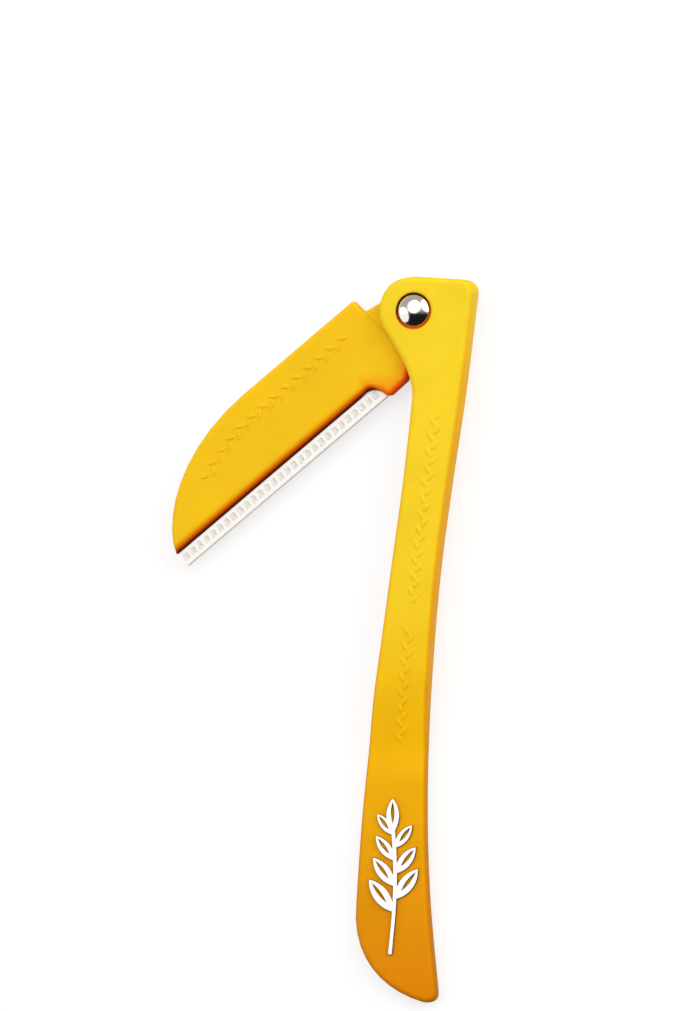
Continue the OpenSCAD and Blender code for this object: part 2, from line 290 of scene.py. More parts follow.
def softFace(ring, widths, depths, look):
    # triangles over the ring's plan, and how far each point drops below the flat face
    normals = inwardNormals(ring)
    steps = look["rounds"]
    spots = []
    for k in range(1, steps + 2):
        turn = pi / 2 * min(k / steps, 1)
        reach = widths * (1 - cos(turn)) * (pastRound if k > steps else 1)
        inner = ring + normals * reach[:, None]
        far, _, _ = nearest(inner, ring)
        spots.append(inner[(far > reach * leastReach) & isInside(inner, ring)])
    low, high = ring.min(0), ring.max(0)
    across = np.arange(low[0], high[0], look["grid"])
    up = np.arange(low[1], high[1], look["grid"])
    field = np.array([(x, y) for x in across for y in up])
    field = field[isInside(field, ring)]
    far, segment, _ = nearest(field, ring)
    spots.append(field[far > widths[segment] * fieldFrom])
    spots.append(look["extra"])
    flat = np.vstack([ring] + spots) / mm
    count = len(ring)
    edges = [(i, (i + 1) % count) for i in range(count)]
    # triangles that lie beyond the outline come with the others, and insideFaces leaves them out
    made = delaunay_2d_cdt([Vector(p) for p in flat], edges, [list(range(count))], 1, 1e-6, True)
    points = np.array([v[:] for v in made[0]]) * mm
    rim = np.zeros(count, int)
    for i, olds in enumerate(made[3]):
        for old in olds:
            if old < count:
                rim[old] = i
    far, segment, share = nearest(points, ring)
    after = (segment + 1) % count
    width = widths[segment] * (1 - share) + widths[after] * share
    depth = depths[segment] * (1 - share) + depths[after] * share
    part = np.clip(far / width, 0, 1)
    drop = depth * (1 - np.sqrt(1 - (1 - part) ** 2))
    faces = [f if signedArea(points[list(f)]) > 0 else f[::-1] for f in insideFaces(made[2], rim)]
    return points, drop, faces, rim


def softPlate(name, ring, topHeight, lowHeight, topRound, lowRound, look):
    # a plate over the ring whose rims are rounded by (width, depth) at each point of the ring
    ring = densify(ring, look["spacing"])
    ring = ring + inwardNormals(ring) * look["skin"]
    top, topDrop, topFaces, topRim = softFace(ring, *topRound(ring), look)
    low, lowDrop, lowFaces, lowRim = softFace(ring, *lowRound(ring), look)
    topZ = topHeight(top) - topDrop - look["skin"]
    lowZ = lowHeight(low) + lowDrop + look["skin"]
    points = np.vstack([np.column_stack([top, topZ]), np.column_stack([low, lowZ])])
    base = len(top)
    faces = [tuple(f) for f in topFaces] + [tuple(i + base for i in reversed(f)) for f in lowFaces]
    for i in range(len(ring)):
        j = (i + 1) % len(ring)
        faces.append((lowRim[i] + base, lowRim[j] + base, topRim[j], topRim[i]))
    plate = meshObject(name, points.tolist(), faces)
    plate.data.validate()
    return plate


def levelAt(height):
    return lambda points: np.full(len(points), height)


def evenRound(width, depth):
    return lambda ring: (np.full(len(ring), width), np.full(len(ring), depth))


def circlesOfPoints(radii, count):
    # points in circles about the pivot axis, in plan
    turns = np.arange(count) * 2 * pi / count
    return np.vstack([np.column_stack([r * np.cos(turns), r * np.sin(turns)]) for r in radii])


def smoothStep(place, span, values):
    # from 0 to 1 over a span that is counted from the place
    low, high = place + span[0], place + span[1]
    part = np.clip((values - low) / (high - low), 0, 1)
    return part * part * (3 - 2 * part)


# Handle

handleLook = {
    "frontRound": 0.95 * mm,  # width of the rounding along the front edges
    "frontDepth": 0.8 * mm,
    "backRound": 0.55 * mm,
    "spacing": 0.7 * mm,  # longest step along the outline
    "grid": 2.2 * mm,
    "rounds": 6,
    "skin": 0.012 * mm,  # how far the surface stays inside the solid
    "sharpFrom": 32,  # degrees
    "ringRound": 0.12 * mm,  # rounding of the ring round the dome
    "ringInset": 0.11 * mm,  # how far the ring's wall is drawn in towards the dome
    "ringDepth": 0.34 * mm,
    "ringWithin": 1.4,  # radius in which the ring is looked for, as a share of the dome's
    "faceBand": 0.1 * mm,  # what lies this near to the front face's height belongs to it
    "domeMargin": 0.5 * mm,  # kept round the dome where the front face's height is read
    "frontCheek": 1 * mm,  # height above the blade's middle from which the front cheek is met
    "extra": circlesOfPoints([3.45 * mm, 4.1 * mm], 48),  # even triangles round the dome
    "cornerEase": 2.8 * mm,  # how far the curve at the round end's corner reaches each way
    "cornerSpacing": 0.4 * mm,
    "cornerPoints": 12,
    "wallTint": (0.05 * mm, 0.55 * mm),  # the painted shade of the sides fades out over this distance
    "wallMargin": 0.6 * mm,  # kept from the back and the front face inside the channel
}


def easedCorner(ring):
    # replaces the round end's sharpest corner by a curve that runs on from both sides
    look = handleLook
    ring = densify(ring, look["cornerSpacing"])
    before, after = ring - np.roll(ring, 1, axis=0), np.roll(ring, -1, axis=0) - ring
    bend = np.abs(before[:, 0] * after[:, 1] - before[:, 1] * after[:, 0])
    bend /= np.linalg.norm(before, axis=1) * np.linalg.norm(after, axis=1)
    bend[(ring[:, 0] > 0) | (ring[:, 1] < 0)] = 0
    ring = np.roll(ring, -bend.argmax(), axis=0)
    kept = ring[np.linalg.norm(ring - ring[0], axis=1) > look["cornerEase"]]
    start, end = kept[-1], kept[0]
    along, back = start - kept[-2], end - kept[1]
    share = np.linalg.solve(np.column_stack([along, -back]), end - start)[0]
    middle = start + share * along
    t = np.linspace(0, 1, look["cornerPoints"] + 2)[1:-1, None]
    return np.vstack([kept, start * (1 - t) ** 2 + 2 * middle * t * (1 - t) + end * t ** 2])


handleRing = easedCorner(flatOutlines("handle", 0)[0])
domeRadius = (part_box("rivet")[1].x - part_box("rivet")[0].x) / 2
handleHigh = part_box("handle")[1]
faceFrom = handleHigh.z - handleLook["faceBand"]


def ringSize():
    # radius of the countersunk ring that the dome sits in
    radius, height = radiiAndHeights("handle")
    return radius[(radius < handleLook["ringWithin"] * domeRadius) & (height > faceFrom)].mean()


ringRadius = ringSize()
wallRadius = ringRadius - handleLook["ringInset"]


def handleProfile():
    # height of the front face by its place along the handle
    bm = mergedCopy("handle")
    heights = {}
    for face in bm.faces:
        for corner in face.verts if face.normal.z > levelShare else ():
            x, y, z = corner.co
            if z > bladeMid and hypot(x, y) > domeRadius + handleLook["domeMargin"]:
                heights[round(y, 6)] = z
    bm.free()
    places = sorted(heights)
    return np.array(places), np.array([heights[y] for y in places])


profileY, profileZ = handleProfile()


def frontHeight(points):
    return np.interp(points[:, 1], profileY, profileZ)


def fitRing(piece):
    # draws the ring in round the dome and raises its floor, so that little of the recess shows
    for vertex in piece.data.vertices:
        radius = hypot(vertex.co.x, vertex.co.y)
        if abs(radius - ringRadius) < rimGap and vertex.co.z > bladeMid + handleLook["frontCheek"]:
            vertex.co.xy *= wallRadius / radius
            if vertex.co.z < faceFrom:
                vertex.co.z = handleHigh.z - handleLook["ringDepth"]


def makeHandle():
    look = handleLook
    shell = softPlate("handleShell", handleRing, frontHeight, levelAt(0.0),
                      evenRound(look["frontRound"], look["frontDepth"]),
                      evenRound(look["backRound"], look["backRound"]), look)
    cutLike(shell, "handle")
    fitRing(shell)
    softenRim(shell, wallRadius, handleHigh.z - look["skin"], look["ringRound"])
    return smoothEdges(shell, look["sharpFrom"])


handleShell = makeHandle()
print("handle shell:", len(handleShell.data.polygons), "faces")

# Blade holder

holderLook = {
    "spineRound": 0.75 * mm,
    "spineDepth": 0.6 * mm,
    "bladeRound": 1.75 * mm,  # the wide rounding beside the blade
    "bladeDepth": 0.72 * mm,
    "lobeRound": 0.95 * mm,
    "hollow": 2.65 * mm,  # length of the hollow between the lobe and the straight edge
    "spacing": 0.5 * mm,
    "grid": 2.0 * mm,
    "rounds": 7,
    "skin": 0.012 * mm,
    "sharpFrom": 32,
    "extra": np.zeros((0, 2)),
    # where the roundings change: aside from the straight edge, and along from its start
    "bladeRoundAside": (-1.2 * mm, -0.3 * mm),
    "bladeRoundAlong": (-0.5 * mm, 3 * mm),
    "lobeRoundAside": (-3 * mm, 0),
    # where the edge's painted shade starts: aside from the straight edge, and along from the hollow's start
    "bladeTintAside": (-4 * mm, -2 * mm),
    "bladeTintAlong": (-0.8 * mm, 1.2 * mm),
    "bladeTintWidth": 1.5 * mm,
    "hollowTintShift": 0.25 * mm,  # the painted shade reaches this much further in beside the hollow
    "hollowTintEnd": (-1 * mm, 0),  # where that ends, from the start of the straight edge
    # painted shade on the lobe's rim, which turns away from the light
    "lobeTintAside": (-5.5 * mm, -3.5 * mm),
    "lobeTintAlong": (3 * mm, 5 * mm),  # from the pivot
    "lobeTintFade": (0.25 * mm, 1.7 * mm),  # from the outline
}

holderLow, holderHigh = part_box("blade_holder")
holderRing = flatOutlines("blade_holder", holderHigh.z)[0]


def bladeEdgeLine():
    # the straight edge that holds the blade: its place across, and where it starts
    flat = toBlade(holderRing)
    steps = np.roll(flat, -1, axis=0) - flat
    longest = np.hypot(steps[:, 0], steps[:, 1]).argmax()
    a, b = flat[longest], flat[(longest + 1) % len(flat)]
    return (a[1] + b[1]) / 2, min(a[0], b[0])


edgeY, edgeFrom = bladeEdgeLine()


def holderRound(ring):
    look = holderLook
    x, y = toBlade(ring).T
    byBlade = smoothStep(edgeY, look["bladeRoundAside"], y)
    byBlade *= smoothStep(edgeFrom, look["bladeRoundAlong"], x)
    byLobe = smoothStep(edgeY, look["lobeRoundAside"], y) * (1 - byBlade)
    widths = look["spineRound"] + (look["bladeRound"] - look["spineRound"]) * byBlade
    widths += (look["lobeRound"] - look["spineRound"]) * byLobe
    depths = look["spineDepth"] + (look["bladeDepth"] - look["spineDepth"]) * byBlade
    return widths, depths


def makeHolder():
    shell = softPlate("holderShell", holderRing, levelAt(holderHigh.z), levelAt(holderLow.z),
                      holderRound, holderRound, holderLook)
    cutLike(shell, "blade_holder")
    return smoothEdges(shell, holderLook["sharpFrom"])


holderShell = makeHolder()
print("blade holder shell:", len(holderShell.data.polygons), "faces")

# Rivet and its cap, turned shapes

rivetLook = {
    "turnSteps": 96,
    "sharpFrom": 40,
    "rimRound": 0.3 * mm,  # rounding where the dome meets its skirt
    "skirtFrom": 0.98,  # share of the dome's radius from which points belong to the skirt
    "skirtClear": 0.1 * mm,  # what lies this far below the skirt belongs to the shank
    "domeFrom": 3,  # degrees past the rim at which the dome's curve starts
    "domeTo": 89,
    "domeSteps": 26,
    "capRound": 0.16 * mm,
    "capDish": 0.05 * mm,  # hollow of the cap's outer face
    "dishShares": [(0, 1), (0.3, 0.9), (0.62, 0.5)],  # its curve: shares of the radius and of the hollow
    "capFlat": 1.6,  # where the face is flat again, in roundings from the rim
}


def turned(name, profile):
    # spins a profile of (radius, height) about the pivot axis; it starts and ends on the axis
    steps = rivetLook["turnSteps"]
    turns = [2 * pi * k / steps for k in range(steps)]
    points = [(r * cos(turn), r * sin(turn), z) for r, z in profile[1:-1] for turn in turns]
    points += [(0, 0, profile[0][1]), (0, 0, profile[-1][1])]
    last = len(profile) - 3
    lowTip, highTip = range(len(points) - 2, len(points))
    grid = np.arange(lowTip).reshape(-1, steps)
    after = np.roll(grid, -1, axis=1)
    faces = [corners for row in range(last) for corners in
             zip(grid[row], after[row], after[row + 1], grid[row + 1])]
    faces += [(lowTip, b, a) for a, b in zip(grid[0], after[0])]
    faces += [(a, b, highTip) for a, b in zip(grid[last], after[last])]
    return smoothEdges(meshObject(name, points, faces, turnOut=True), rivetLook["sharpFrom"])


def arcPoints(centre, radius, fromDegrees, toDegrees, steps):
    turns = [radians(fromDegrees + (toDegrees - fromDegrees) * k / steps) for k in range(steps + 1)]
    return [(centre[0] + radius * cos(t), centre[1] + radius * sin(t)) for t in turns]


def makeRivet():
    look = rivetLook
    low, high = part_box("rivet")
    radius, height = radiiAndHeights("rivet")
    skirt = height[radius > domeRadius * look["skirtFrom"]]
    skirtLow, skirtHigh = skirt.min(), skirt.max()
    shank = radius[height < skirtLow - look["skirtClear"]].max()
    rise = high.z - skirtHigh
    ball = (domeRadius ** 2 + rise ** 2) / (2 * rise)
    centre = high.z - ball
    edge = degrees(asin((skirtHigh - centre) / ball))
    inset = look["rimRound"]
    profile = [(0, low.z), (shank, low.z), (shank, skirtLow), (domeRadius - inset / 2, skirtLow)]
    profile += arcPoints((domeRadius - inset / 2, skirtLow + inset / 2), inset / 2, -90, 0, steps=4)[1:]
    profile += arcPoints((domeRadius - inset, skirtHigh - inset), inset, 0, edge, steps=5)
    profile += arcPoints((0, centre), ball, edge + look["domeFrom"], look["domeTo"], look["domeSteps"])
    return turned("rivetDome", profile + [(0, high.z)])


def makeCap():
    look = rivetLook
    low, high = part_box("rivet_cap")
    inset = look["capRound"]
    profile = [(high.x * out, low.z + look["capDish"] * deep) for out, deep in look["dishShares"]]
    profile += [(high.x - inset * look["capFlat"], low.z)]
    profile += arcPoints((high.x - inset, low.z + inset), inset, -90, 0, steps=5)
    return turned("rivetCapDisc", profile + [(high.x, high.z), (0, high.z)])


rivetDome = makeRivet()
rivetCapDisc = makeCap()
print("rivet turned")

# Node helpers

def newTree(name, *floats, **others):
    # a Geometry Nodes tree with a finish and these named inputs
    tree = bpy.data.node_groups.new(name, "GeometryNodeTree")
    kinds = {"Geometry": "Geometry", **others, **dict.fromkeys(floats, "Float"), "Finish": "Material"}
    for label, kind in kinds.items():
        tree.interface.new_socket(label, in_out="INPUT", socket_type="NodeSocket" + kind)
    tree.interface.new_socket("Geometry", in_out="OUTPUT", socket_type="NodeSocketGeometry")
    return tree, tree.nodes.new("NodeGroupInput").outputs


def feed(tree, node, **links):
    # sets a node's inputs, named with underscores for spaces, or by i and a number
    for key, value in links.items():
        socket = node.inputs[int(key[1:])] if key[1:].isdigit() else node.inputs[key.replace("_", " ")]
        if isinstance(value, bpy.types.Node):
            value = value.outputs[0]
        if isinstance(value, bpy.types.NodeSocket):
            tree.links.new(value, socket)
        else:
            socket.default_value = value
    return node


def add(tree, kind, settings=None, **links):
    # adds a node by the short name of its type
    families = ("ShaderNode", "GeometryNode", "FunctionNode")
    node = tree.nodes.new(next(family + kind for family in families if hasattr(bpy.types, family + kind)))
    for key, value in (settings or {}).items():
        setattr(node, key, value)
    return feed(tree, node, **links)


def calc(tree, operation, *values, kind="Math"):
    links = {f"i{k}": value for k, value in enumerate(values)}
    return add(tree, kind, {"operation": operation}, **links).outputs[0]


def vectorCalc(tree, operation, *values):
    vector = calc(tree, operation, *values, kind="VectorMath")
    isNumber = operation in ("LENGTH", "DISTANCE", "DOT_PRODUCT")
    return vector.node.outputs["Value"] if isNumber else vector


def finishTree(tree, geometry, finish):
    # every tree ends with real geometry that wears its material
    real = add(tree, "RealizeInstances", Geometry=geometry)
    finished = add(tree, "SetMaterial", Geometry=real, Material=finish)
    feed(tree, tree.nodes.new("NodeGroupOutput"), i0=finished)
    return tree


def giveTree(piece, tree, values):
    steps = piece.modifiers.new(tree.name, "NODES")
    steps.node_group = tree
    for item in tree.interface.items_tree:
        if item.item_type == "SOCKET" and item.in_out == "INPUT" and item.name in values:
            steps[item.identifier] = values[item.name]


# Comb guard: a folded foil with a row of punched windows

guardLook = {
    "windowWidth": 1.02 * mm,
    "windowHeight": 1.2 * mm,
    "cornerRound": 0.24 * mm,
    "cornerSteps": 5,
    "foil": 0.12 * mm,
    "skin": 0.002 * mm,  # how far the foil's outline stays inside the solid
    "over": 1 * mm,  # overrun of the folded strip before it is trimmed
    "foldSteps": (12, 8),  # of the fold's outer and inner curve
    "sharpFrom": 35,
}


def punchTree():
    tree, given = newTree("punchWindows", "Pitch", "Start", "Across", "Width", "Height", "Corner", "Depth",
                          Count="Int")
    rect = add(tree, "CurvePrimitiveQuadrilateral", {"mode": "RECTANGLE"},
               Width=given["Width"], Height=given["Height"])
    round4 = add(tree, "FilletCurve", {"mode": "POLY"}, Curve=rect,
                 Count=guardLook["cornerSteps"], Radius=given["Corner"], Limit_Radius=True)
    filled = add(tree, "FillCurve", {"mode": "NGONS"}, Curve=round4)
    punch = add(tree, "ExtrudeMesh", {"mode": "FACES"}, Mesh=filled,
                Offset_Scale=given["Depth"], Individual=False)
    flipped = add(tree, "FlipFaces", Mesh=filled)
    closed = add(tree, "JoinGeometry")
    for part in (punch, flipped):
        feed(tree, closed, Geometry=part)
    welded = add(tree, "MergeByDistance", Geometry=closed, Distance=flatGap / 2)
    lower = add(tree, "CombineXYZ", Z=calc(tree, "MULTIPLY", given["Depth"], -0.5))
    centred = add(tree, "Transform", Geometry=welded, Translation=lower)
    first = add(tree, "CombineXYZ", X=given["Start"], Y=given["Across"])
    step = add(tree, "CombineXYZ", X=given["Pitch"])
    line = add(tree, "MeshLine", {"mode": "OFFSET"}, Count=given["Count"], Start_Location=first, Offset=step)
    row = add(tree, "InstanceOnPoints", Points=line, Instance=centred)
    real = add(tree, "RealizeInstances", Geometry=row)
    cut = add(tree, "MeshBoolean", {"operation": "DIFFERENCE", "solver": "EXACT"},
              Mesh_1=given["Geometry"], Mesh_2=real)
    return finishTree(tree, cut, given["Finish"])


def drawnOut(name, starts, ends):
    # a closed solid between a ring of points and the same ring moved away
    count = len(starts)
    faces = [(i, (i + 1) % count, count + (i + 1) % count, count + i) for i in range(count)]
    faces += [tuple(range(count))[::-1], tuple(range(count, 2 * count))]
    return meshObject(name, starts + ends, faces, turnOut=True)


def foldedFoil(ring, outer):
    # a strip folded over the blade's edge, a little larger than the ring
    look = guardLook
    inner = outer - look["foil"]
    fold = ring[:, 1].max() - outer
    root = ring[:, 1].min() - look["over"]
    outerSteps, innerSteps = look["foldSteps"]
    section = [(root, outer)] + arcPoints((fold, 0), outer, 90, -90, outerSteps) + [(root, -outer)]
    section += [(root, -inner)] + arcPoints((fold, 0), inner, -90, 90, innerSteps) + [(root, inner)]
    ends = (ring[:, 0].min() - look["over"], ring[:, 0].max() + look["over"])
    foil = drawnOut("guardFoil", *([(x, y, z) for y, z in section] for x in ends))
    keepWithin(foil, drawnOut("prism", *([(x, y, z) for x, y in ring] for z in (-2 * outer, 2 * outer))))
    return foil


def makeGuard(finish):
    look = guardLook
    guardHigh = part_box("guard")[1].z
    outlines = [toBlade(outline) for outline in flatOutlines("guard", guardHigh)]
    middles = np.array(sorted(tuple((hole.min(0) + hole.max(0)) / 2) for hole in outlines[1:]))
    outer = guardHigh - bladeMid
    foil = foldedFoil(outlines[0] + inwardNormals(outlines[0]) * look["skin"], outer)
    giveTree(foil, punchTree(), {
        "Count": len(middles), "Pitch": (middles[-1, 0] - middles[0, 0]) / (len(middles) - 1),
        "Start": middles[0, 0], "Across": middles[:, 1].mean(), "Width": look["windowWidth"],
        "Height": look["windowHeight"], "Corner": look["cornerRound"], "Depth": 4 * outer, "Finish": finish,
    })
    bakeModifiers(foil)
    foil.data.transform(fromBlade)
    return smoothEdges(foil, look["sharpFrom"])


# Raised leaf marks in rows on both mouldings

leafLook = {
    "length": 2.0 * mm,
    "width": 0.78 * mm,
    "height": 0.1 * mm,
    "segments": 14,
    "rings": 8,
    "pinch": -3.2,  # how fast a leaf narrows towards its ends
    "spacing": 1.25 * mm,
    "tilt": 34,  # degrees between a leaf and the row
    "spread": 0.42 * mm,  # how far the leaves stand off the row's line
    "handleRows": [(-17.2 * mm, -47.6 * mm), (-52.9 * mm, -70.7 * mm)],  # from and to, along the handle
    "rowPoints": 16,
    "rowShare": 0.57,  # place of the rows across the handle, from the front edge
    "headRow": (12.5 * mm, 47 * mm),  # from and to, along the blade
    "headInset": 4.1 * mm,  # distance of the head's row from the spine
    "headSpine": 1.6,  # the spine lies further than this many insets from the straight edge
    "headSpacing": 0.5 * mm,
}


def leafTree():
    tree, given = newTree("leafRow", "Spacing", "Length", "Width", "Height", "Tilt", "Spread")
    ball = add(tree, "MeshUVSphere", Segments=leafLook["segments"], Rings=leafLook["rings"], Radius=0.5)
    place = add(tree, "InputPosition")
    x, y, z = add(tree, "SeparateXYZ", Vector=place).outputs
    # the poles of the ball lie along Z, which becomes the leaf's length with pointed ends
    pinched = calc(tree, "MULTIPLY_ADD", calc(tree, "MULTIPLY", z, z), leafLook["pinch"], 1.0)
    wide = calc(tree, "MULTIPLY", calc(tree, "MULTIPLY", x, pinched), given["Width"])
    long = calc(tree, "MULTIPLY", z, given["Length"])
    high = calc(tree, "MULTIPLY", y, calc(tree, "MULTIPLY", given["Height"], 2.0))
    shaped = add(tree, "CombineXYZ", X=wide, Y=long, Z=high)
    leaf = add(tree, "SetPosition", Geometry=ball, Position=shaped)
    upright = add(tree, "FlipFaces", Mesh=leaf)
    path = add(tree, "ResampleCurve", {"mode": "LENGTH"}, Curve=given["Geometry"], Length=given["Spacing"])
    # the row's own direction is kept from before the leaves step aside
    kept = add(tree, "CaptureAttribute", Geometry=path)
    kept.capture_items.new("VECTOR", "Way")
    feed(tree, kept, Way=add(tree, "InputTangent"))
    way = kept.outputs["Way"]
    turn = add(tree, "AlignRotationToVector", {"axis": "Y", "pivot_axis": "Z"}, Vector=way)
    turn = add(tree, "AlignRotationToVector", {"axis": "Y", "pivot_axis": "X"}, Rotation=turn, Vector=way)
    odd = calc(tree, "MODULO", add(tree, "InputIndex"), 2.0)
    side = calc(tree, "MULTIPLY_ADD", odd, 2.0, -1.0)
    lean = add(tree, "AxisAngleToRotation", Axis=(0, 0, 1),
               Angle=calc(tree, "MULTIPLY", side, given["Tilt"]))
    both = add(tree, "RotateRotation", {"rotation_space": "LOCAL"}, Rotation=turn, Rotate_By=lean)
    shift = add(tree, "VectorMath", {"operation": "SCALE"},
                i0=vectorCalc(tree, "CROSS_PRODUCT", way, (0, 0, 1)),
                Scale=calc(tree, "MULTIPLY", side, given["Spread"]))
    moved = add(tree, "SetPosition", Geometry=kept, Offset=shift)
    row = add(tree, "InstanceOnPoints", Points=moved, Instance=upright, Rotation=both)
    return finishTree(tree, row, given["Finish"])


def leafRows(name, lines, tree, finish):
    look = leafLook
    curve = bpy.data.curves.new(name, "CURVE")
    curve.dimensions = "3D"
    for line in lines:
        points = curve.splines.new("POLY").points
        points.add(len(line) - 1)
        for point, place in zip(points, line):
            point.co = (*place, 1)
    path = addObject(name + "Path", curve)
    values = {label: look[label.lower()] for label in ("Spacing", "Length", "Width", "Height", "Spread")}
    giveTree(path, tree, {**values, "Tilt": radians(look["tilt"]), "Finish": finish})
    mesh = shownMesh(path)
    bpy.data.objects.remove(path)
    mesh.name = name
    mesh.shade_smooth()
    return addObject(name, mesh)


def handleRow(fromY, toY):
    # points on the front face between two places along the handle
    look = leafLook
    a, b = handleRing, np.roll(handleRing, -1, axis=0)
    line = []
    for y in np.linspace(fromY, toY, look["rowPoints"]):
        hit = (a[:, 1] > y) != (b[:, 1] > y)
        xs = a[hit, 0] + (y - a[hit, 1]) * (b[hit, 0] - a[hit, 0]) / (b[hit, 1] - a[hit, 1])
        x = xs.min() + look["rowShare"] * (xs.max() - xs.min())
        line.append((x, y, frontHeight(np.array([[x, y]]))[0]))
    return line


def headRow(fromX, toX):
    # points at one distance from the spine
    look = leafLook
    ring = densify(holderRing, look["headSpacing"])
    inner = ring + inwardNormals(ring) * look["headInset"]
    x, y = toBlade(ring).T
    spine = (y < edgeY - look["headSpine"] * look["headInset"]) & (x > fromX) & (x < toX)
    return sorted(((*place, holderHigh.z) for place in inner[spine]), key=lambda p: p[0])


# Ornament: the sprig with softened edges

ornamentLook = {
    "edgeWidth": 0.09 * mm,  # sloping rim round the bright face
    "edgeDrop": 0.07 * mm,
    "mergeBelow": 1,  # degrees between faces that become one
    # least share of Z in the normal of the solid's top, of a face that isn't a wall, and of the bright face
    "topFrom": 0.9,
    "wallTo": 0.5,
    "brightFrom": 0.93,
}


def makeOrnament():
    look = ornamentLook
    bm = mergedCopy("ornament")
    bmesh.ops.dissolve_limit(bm, angle_limit=radians(look["mergeBelow"]), verts=bm.verts, edges=bm.edges)
    top = [face for face in bm.faces if face.normal.z > look["topFrom"]]
    bmesh.ops.inset_region(bm, faces=top, use_boundary=True, use_even_offset=True,
                           thickness=look["edgeWidth"])
    bm.normal_update()
    rim = {v for face in bm.faces if abs(face.normal.z) < look["wallTo"] for v in face.verts
           if any(other.normal.z > look["topFrom"] for other in v.link_faces)}
    for v in rim:
        v.co.z -= look["edgeDrop"]
    bmesh.ops.triangulate(bm, faces=bm.faces)
    mesh = bpy.data.meshes.new("sprig")
    bm.to_mesh(mesh)
    bm.free()
    # the sloping rim and walls are marked for painted shade and reflection
    sides = mesh.attributes.new("sprigRimShade", "FLOAT", "FACE")
    sides.data.foreach_set("value", [float(face.normal.z < look["brightFrom"]) for face in mesh.polygons])
    return addObject("sprig", mesh)


# Finishes

def newMaterial(name, **given):
    # a material whose shader has these values on its own sockets
    material = bpy.data.materials.new(name)
    material.use_nodes = True
    tree = material.node_tree
    shader = tree.nodes["Principled BSDF"]
    feed(tree, shader, **given)
    return material, tree, shader, add(tree, "TexCoord").outputs["Object"]


def linear(red, green, blue):
    # screen values from 0 to 255 as the shader's own
    values = (v / 255 for v in (red, green, blue))
    return (*(v / 12.92 if v <= 0.04045 else ((v + 0.055) / 1.055) ** 2.4 for v in values), 1)


def scaled(tree, spot, scale=(1, 1, 1), turn=0):
    return add(tree, "Mapping", Vector=spot, Scale=[s / mm for s in scale], Rotation=(0, 0, turn)).outputs[0]


def noise(tree, where, scale, detail=2, roughness=0.5):
    return add(tree, "TexNoise", Vector=where, Scale=scale, Detail=detail,
               Roughness=roughness).outputs["Fac"]


def streaks(tree, spot, scale, turn, detail=3):
    # noise drawn out along one way
    return noise(tree, scaled(tree, spot, scale, turn), 1.0, detail, roughness=0.7)


def ramp(tree, value, stops):
    node = add(tree, "ValToRGB", Fac=value)
    while len(node.color_ramp.elements) < len(stops):
        node.color_ramp.elements.new(0.5)
    for element, (place, colour) in zip(node.color_ramp.elements, stops):
        element.position = place
        element.color = colour
    return node.outputs[0]


def screenRamp(tree, value, stops):
    return ramp(tree, value, [(place, linear(*colour)) for place, colour in stops])


def mixed(tree, kind, share, first, second):
    settings = {"data_type": "RGBA", "blend_type": kind}
    return add(tree, "Mix", settings, i0=share, i6=first, i7=second).outputs[2]


def ranged(tree, value, fromLow, fromHigh, toLow=0, toHigh=1):
    return add(tree, "MapRange", Value=value, i1=fromLow, i2=fromHigh, i3=toLow, i4=toHigh).outputs[0]


def painted(tree, label):
    return add(tree, "Attribute", {"attribute_name": label}).outputs["Fac"]


def bumped(tree, height, distance):
    return add(tree, "Bump", Height=height, Distance=distance, Strength=1.0)


plasticLook = {
    # screen colours of the front from the pivot to the tail, then of the sides; the darkening towards the
    # tail is painted shade, and the front's brighter stops near 0.6 are painted light over the face where it
    # falls
    "handleColours": [(0.0, (247, 214, 42)), (0.42, (246, 208, 36)), (0.53, (245, 195, 20)),
                      (0.59, (255, 196, 14)), (0.65, (250, 188, 8)), (0.69, (241, 178, 6)),
                      (0.86, (228, 150, 2)), (1.0, (223, 131, 0))],
    # painted shade: the sides wear a deeper, darker copy of the front's colours
    "sideShadeColours": [(0.0, (255, 209, 25)), (0.1, (255, 192, 0)), (0.3, (250, 180, 0)),
                    (0.52, (243, 172, 0)), (0.6, (229, 158, 0)), (0.74, (212, 137, 0)),
                    (1.0, (198, 119, 0))],
    "headColour": (245, 196, 24),
    # painted shade: what the head's colour is multiplied by, darker up to the edge that holds the blade
    "edgeShadeSteps": [(0.0, (255, 255, 255)), (0.3, (252, 225, 160)), (0.58, (238, 150, 75)),
                    (0.8, (196, 92, 44)), (0.95, (104, 34, 18))],
    # painted shade: the deep red-orange of the lobe's rim
    "lobeRimShadeColour": (255, 84, 2),
    "recessShadeColours": ((96, 44, 4), (236, 112, 0)),  # painted shade, for the upper left and lower right of the ring
    "ringWay": (0.5, -0.86),
    "ringShift": (-0.05 * mm, -0.14 * mm),  # the painted shade reaches a little further below the dome
    "ringFade": (0.11 * mm, 0.02 * mm),  # beyond the ring's wall
    "ringFrom": (1.2 * mm, 1 * mm),  # the painted shade starts this deep below the front face
    "ringBlend": 0.7,  # share of the ring's radius over which its two colours meet
    # painted shade: a darker line stands in for the fine step across the head's neck
    "stepShadeColour": (214, 150, 12),
    "stepWay": (-0.696, -0.718),  # the fine step across the head's neck lies square to this
    "stepPlace": 6.22 * mm,
    "stepWidth": 0.1 * mm,
    "stepShare": 0.8,
    # scales are in features per millimetre
    "cloudScale": 0.16,
    "cloudTints": [(0.3, (0.93, 0.93, 0.9, 1)), (0.7, (1.04, 1.03, 1.0, 1))],
    "cloudShare": 0.7,
    "speckScale": 2.6,
    "speckTints": [(0.35, (0.97, 0.965, 0.95, 1)), (0.6, (1, 1, 1, 1))],
    "speckShare": 0.6,
    "scratchScale": (5.5, 0.22, 1),
    "scratchTurn": 0.35,
    "scratchShare": 0.5,
    "patchScale": 0.6,
    "grainScale": 7.0,
    "grain": 0.006 * mm,
    "roughSpan": (0.5, 1.0),  # from this value of the noise to that one the roughness grows
    "roughness": (0.42, 0.55),
    "gloss": 0.06,
    "refraction": 1.48,
}


def plasticMaterial(name):
    return newMaterial(name, IOR=plasticLook["refraction"], Specular_IOR_Level=plasticLook["gloss"])


